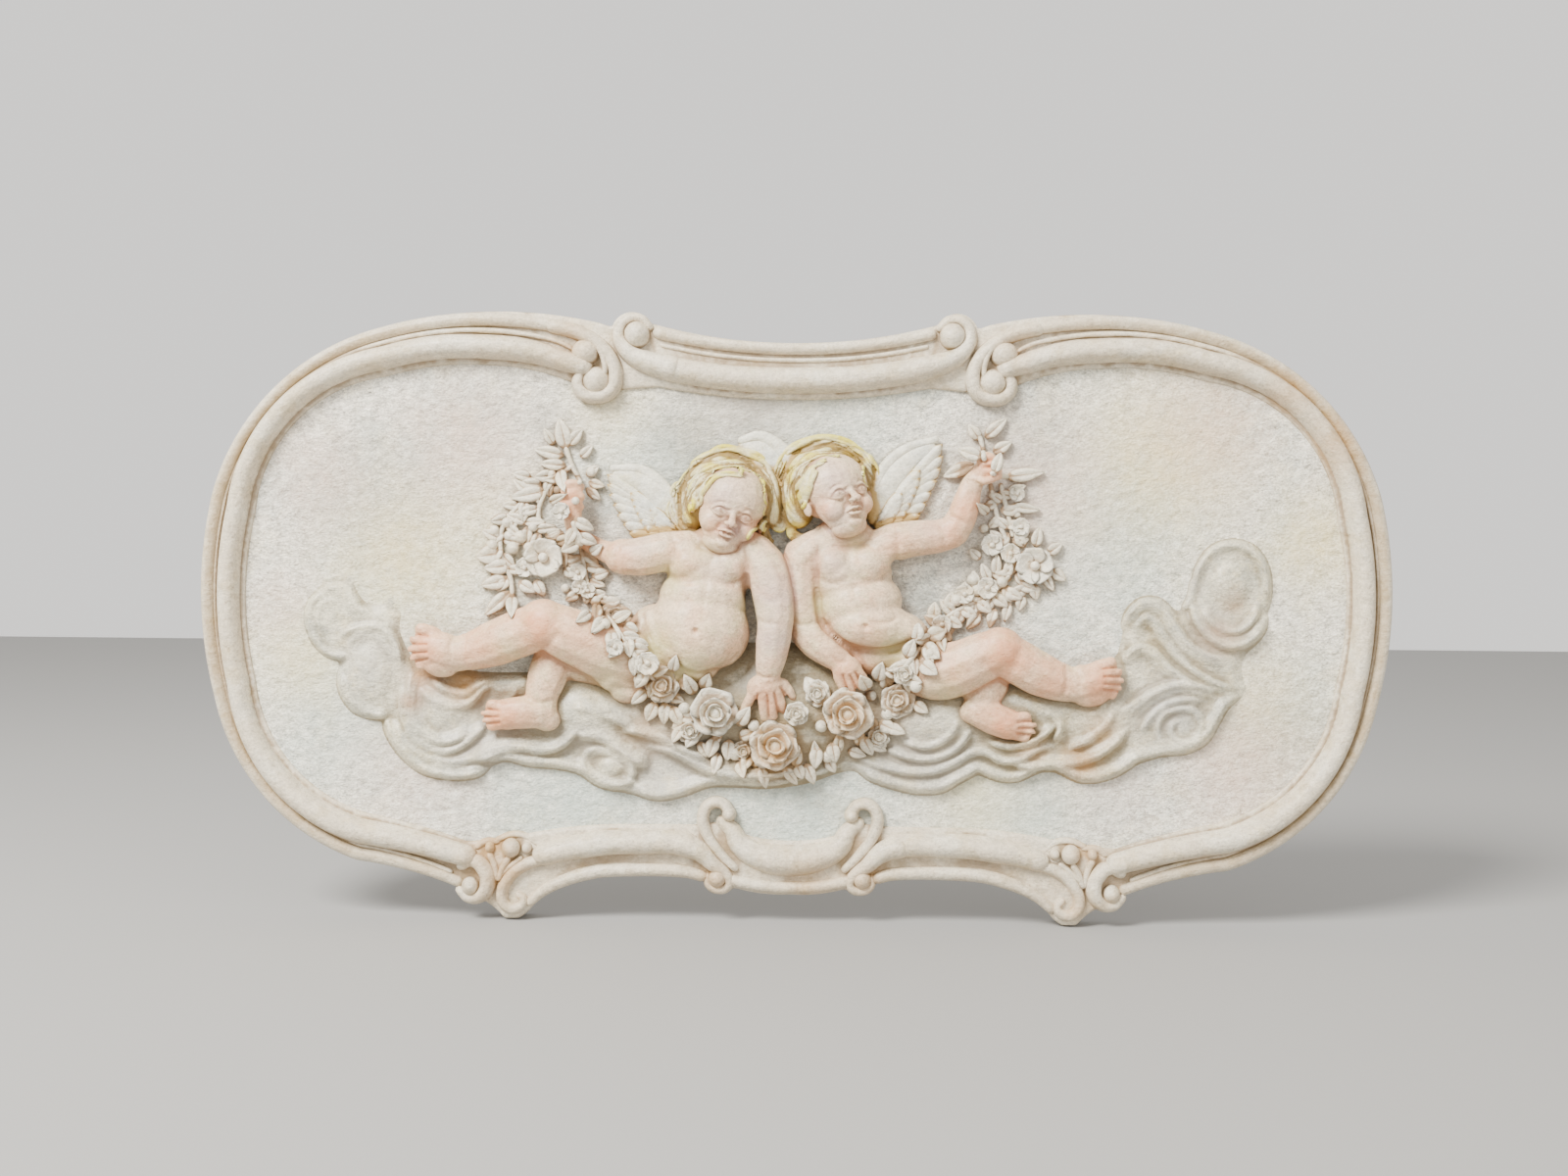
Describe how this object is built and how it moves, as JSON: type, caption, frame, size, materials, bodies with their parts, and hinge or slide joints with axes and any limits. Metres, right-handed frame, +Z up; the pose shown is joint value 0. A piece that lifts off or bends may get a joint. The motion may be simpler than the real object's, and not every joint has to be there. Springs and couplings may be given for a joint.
{
  "type": "cherub wall plaque",
  "caption": "Cast relief wall plaque: two winged cherubs on clouds holding a flower garland, inside a scrolled rococo frame with a plain flat back.",
  "frame": {"origin": "centre of the flat back, level with the middle of the side mouldings, where the plaque rests on the wall", "axes": "+X to the viewer's right along the plaque, +Y into the wall, +Z up; the relief faces -Y"},
  "size_m": [0.5798, 0.0454, 0.2975],
  "materials": {
    "painted_plaster": null
  },
  "bodies": {
    "root": {"plaque": "painted_plaster"}
  },
  "joints": []
}
